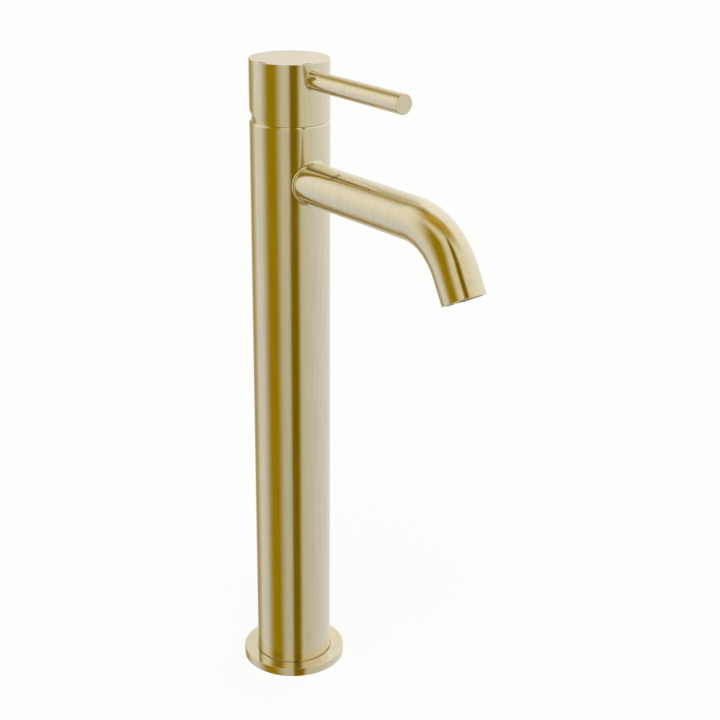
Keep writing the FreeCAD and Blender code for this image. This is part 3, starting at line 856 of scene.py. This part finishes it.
addPiece("handleHead", headSheets(), gold, "handle", "brushed_gold", "handle_head")
addPiece("leverRod", leverSheets(), gold, "handle", "brushed_gold", "lever_rod")
leverBlend = blendSheets(lever["radius"], lever["port"], lever["blend"], head["radius"], lever["axis"],
                         lever["seat"], lever["columns"])
addPiece("leverCollar", leverBlend, gold, "handle", "brushed_gold", "lever_collar")
addPiece("coldMark", markSheets("cold_mark"), finishes["blue_enamel"], "handle", "blue_enamel", "cold_mark")
addPiece("hotMark", markSheets("hot_mark"), finishes["red_enamel"], "handle", "red_enamel", "hot_mark")


# Floor, studio light and camera

floorLook = {"half": 8.0, "below": 0.05 * mm, "color": (0.86, 0.90, 1.0), "whiteShare": 0.88}


def floorFinish():
    # a matt pale floor that shows the camera mostly plain white, so that only a faint shadow is left
    finish, tree, shader = newFinish("paleFloor")
    shader.inputs["Base Color"].default_value = rgba(floorLook["color"])
    shader.inputs["Roughness"].default_value = 1
    white = tree.nodes.new("ShaderNodeEmission")
    seen = tree.nodes.new("ShaderNodeLightPath").outputs["Is Camera Ray"]
    mix = tree.nodes.new("ShaderNodeMixShader")
    put(tree, mix.inputs[0], calc(tree, "MULTIPLY", seen, floorLook["whiteShare"]))
    put(tree, mix.inputs[1], shader.outputs[0])
    put(tree, mix.inputs[2], white.outputs[0])
    put(tree, tree.nodes["Material Output"].inputs["Surface"], mix.outputs[0])
    return finish


def addFloor():  # a level grid just under the part
    edge = np.linspace(-floorLook["half"], floorLook["half"], 3)
    x, y = np.meshgrid(edge, edge, indexing="ij")
    points = np.stack([x, y, np.full_like(x, -floorLook["below"])], axis=-1).reshape(-1, 3)
    mesh = bpy.data.meshes.new("floor")
    mesh.from_pydata(points.tolist(), [], gridQuads(*x.shape).reshape(-1, 4).tolist())
    mesh.materials.append(floorFinish())
    floor = bpy.data.objects.new("floor", mesh)
    bpy.context.scene.collection.objects.link(floor)
    floor.visible_glossy = False  # the metal shows the studio, also below the floor's horizon


# Angles are in degrees, azimuths from the front towards +X. The drapes are amber cloths hung round the set.
# Each fades in, is full and fades out at its four azimuths, and fades out upwards between the two angles of
# its top. A blueCut over 1 takes the blue away sooner than the rest.
studio = {
    "walls": (0.54, 0.502, 0.37),
    "backGlow": (0.227, 0.273, 0.409),
    "backAzimuth": 138,
    "skyGlow": (0.196, 0.165, 0.077),
    "skyFrom": -30,
    "skyTo": 16,
    "drapes": [
        {"azimuths": (-131.5, -97.4, -82.7, -54.2), "top": (40, 60),
         "tint": (0.585, 0.39, 0.0), "blueCut": 1.03},
        {"azimuths": (-42.5, -31.2, -19.5, -2.8), "top": (58, 78),
         "tint": (0.39, 0.245, 0.0), "blueCut": 1.25},
        {"azimuths": (128, 181.4, 183.2, 214), "top": (65, 85),
         "tint": (0.60, 0.458, 0.14), "blueCut": 1.0},
    ],
    "roof": {"long": 0.62, "short": 0.36, "turn": 45, "fade": (0.5, 1.3), "risen": 0.3,
             "tint": (0.60, 0.42, 0.07)},
}


def drapeShare(tree, drape, azimuth, height):  # how far a drape covers each direction, from 0 to 1
    fromLeft, fullLeft, fullRight, toRight = [math.radians(angle) for angle in drape["azimuths"]]
    middle = (fullLeft + fullRight) / 2
    away = calc(tree, "WRAP", calc(tree, "SUBTRACT", azimuth, middle), math.pi, -math.pi)
    left = ease(tree, away, fromLeft - middle, fullLeft - middle)
    right = ease(tree, away, fullRight - middle, toRight - middle, 1.0, 0.0)
    reach = ease(tree, height, *[math.radians(angle) for angle in drape["top"]], 1.0, 0.0)
    return calc(tree, "MULTIPLY", calc(tree, "MULTIPLY", left, right), reach)


def roofShare(tree, x, y, z):
    # an oval of shade overhead: the distance from straight up, in the oval's own half lengths, fades it out
    roof = studio["roof"]
    cosA, sinA = math.cos(math.radians(roof["turn"])), math.sin(math.radians(roof["turn"]))
    along = calc(tree, "MULTIPLY_ADD", x, sinA, calc(tree, "MULTIPLY", y, -cosA))
    across = calc(tree, "MULTIPLY_ADD", x, cosA, calc(tree, "MULTIPLY", y, sinA))
    along = calc(tree, "DIVIDE", along, roof["long"])
    across = calc(tree, "DIVIDE", across, roof["short"])
    square = calc(tree, "MULTIPLY_ADD", along, along, calc(tree, "MULTIPLY", across, across))
    inside = ease(tree, calc(tree, "SQRT", square), *roof["fade"], 1.0, 0.0)
    return calc(tree, "MULTIPLY", inside, ease(tree, z, 0.0, roof["risen"]))


def addStudio():
    # light by direction: the walls, brighter towards the back and the sky, times the tints of drapes and roof
    world = bpy.data.worlds.new("studio")
    world.use_nodes = True
    bpy.context.scene.world = world
    tree = world.node_tree
    split = tree.nodes.new("ShaderNodeSeparateXYZ")
    tree.links.new(tree.nodes.new("ShaderNodeTexCoord").outputs["Generated"], split.inputs[0])
    x, y, z = split.outputs
    azimuth = calc(tree, "ARCTAN2", x, calc(tree, "MULTIPLY", y, -1.0))
    height = calc(tree, "ARCSINE", z)
    fromBack = calc(tree, "SUBTRACT", azimuth, math.radians(studio["backAzimuth"]))
    back = calc(tree, "MULTIPLY_ADD", calc(tree, "COSINE", fromBack), 0.5, 0.5)
    sky = ease(tree, height, math.radians(studio["skyFrom"]), math.radians(studio["skyTo"]))
    light = mixColor(tree, back, rgba(studio["walls"]), rgba(studio["backGlow"]), "ADD")
    for drape in studio["drapes"]:
        hung = drapeShare(tree, drape, azimuth, height)
        cut = calc(tree, "MINIMUM", calc(tree, "MULTIPLY", hung, drape["blueCut"]), 1.0)
        red, green, blue = drape["tint"]
        light = mixColor(tree, hung, light, rgba((red, green, 1)), "MULTIPLY")
        light = mixColor(tree, cut, light, rgba((1, 1, blue)), "MULTIPLY")
        sky = calc(tree, "MULTIPLY", sky, calc(tree, "SUBTRACT", 1.0, hung))
    light = mixColor(tree, sky, light, rgba(studio["skyGlow"]), "ADD")
    light = mixColor(tree, roofShare(tree, x, y, z), light, rgba(studio["roof"]["tint"]), "MULTIPLY")
    seen = tree.nodes.new("ShaderNodeLightPath").outputs["Is Camera Ray"]
    tree.links.new(mixColor(tree, seen, light, rgba((1, 1, 1))), tree.nodes["Background"].inputs["Color"])


lamp = {"from": (-0.45, -0.35, 1.0), "spread": math.radians(50), "strength": 1.5}


def addLamp():  # a soft sun, for the floor and the plastics; the metal shows the studio alone
    light = bpy.data.lights.new("softSun", "SUN")
    light.angle = lamp["spread"]
    light.energy = lamp["strength"]
    holder = bpy.data.objects.new("softSun", light)
    bpy.context.scene.collection.objects.link(holder)
    holder.rotation_euler = (-Vector(lamp["from"])).to_track_quat("-Z", "Y").to_euler()
    holder.visible_glossy = False


viewFrom = {
    "distance": 760.5 * mm,
    "height": 473.06 * mm,
    "azimuth": math.radians(35.69),  # to the left of the front
    "yaw": 0.04693,
    "pitch": 0.37305,
    "roll": 0.0090,
    "lens": 77.945,
    "sensor": 36.0,
    "clipEnd": 50.0,
}


def addCamera():  # the axes ahead, level and upward from yaw and pitch, rolled, then turned about the part
    v = viewFrom
    turn = Matrix.Rotation(-v["azimuth"], 3, "Z")
    ahead = Vector((math.sin(v["yaw"]) * math.cos(v["pitch"]), math.cos(v["yaw"]) * math.cos(v["pitch"]),
                    -math.sin(v["pitch"])))
    level = Vector((math.cos(v["yaw"]), -math.sin(v["yaw"]), 0))
    upward = level.cross(ahead)
    side = math.cos(v["roll"]) * level + math.sin(v["roll"]) * upward
    top = math.cos(v["roll"]) * upward - math.sin(v["roll"]) * level
    lens = bpy.data.cameras.new("camera")
    lens.lens = v["lens"]
    lens.sensor_width = v["sensor"]
    lens.clip_end = v["clipEnd"]
    camera = bpy.data.objects.new("camera", lens)
    bpy.context.scene.collection.objects.link(camera)
    axes = Matrix([turn @ side, turn @ top, turn @ -ahead]).transposed().to_4x4()
    camera.matrix_world = Matrix.Translation(turn @ Vector((0, -v["distance"], v["height"]))) @ axes
    bpy.context.scene.camera = camera


addFloor()
addStudio()
addLamp()
addCamera()
bpy.context.scene.view_settings.view_transform = "Standard"
print("floor, studio and camera ready")
